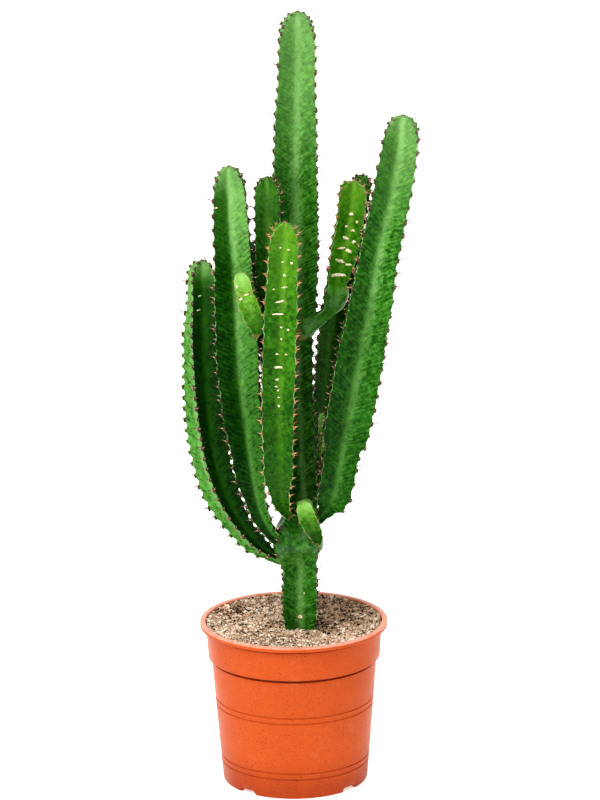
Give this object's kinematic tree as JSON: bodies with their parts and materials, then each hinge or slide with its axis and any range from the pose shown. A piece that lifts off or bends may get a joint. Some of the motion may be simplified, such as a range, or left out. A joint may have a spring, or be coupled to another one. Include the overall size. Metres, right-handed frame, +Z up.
{
  "type": "potted euphorbia",
  "caption": "Upright candelabra euphorbia with ribbed, spiny green columns, rooted in grit and peat in a round terracotta-coloured nursery pot.",
  "frame": {"origin": "middle of the bounding box at the level of the pot's foot ring", "axes": "+Z up along the pot's axis and the main stem, -Y towards the side with the scarred front column"},
  "size_m": [0.2982, 0.24, 0.9981],
  "materials": {
    "pot_plastic": "satin",
    "potting_mix": "matte",
    "mature_skin": "satin",
    "shaded_skin": "satin",
    "scarred_skin": "satin",
    "young_skin": "satin"
  },
  "bodies": {
    "root": {"pot": "pot_plastic", "soil": "potting_mix", "main_stem": "mature_skin", "right_column": "mature_skin", "left_column": "mature_skin", "front_column": "scarred_skin", "centre_left_column": "shaded_skin", "outer_left_column": "mature_skin", "rear_left_column": "shaded_skin", "rear_right_column": "shaded_skin", "right_middle_column": "scarred_skin", "trunk_shoot": "young_skin", "upper_bud": "young_skin", "lower_bud": "young_skin", "left_column_offset": "young_skin"}
  },
  "joints": []
}
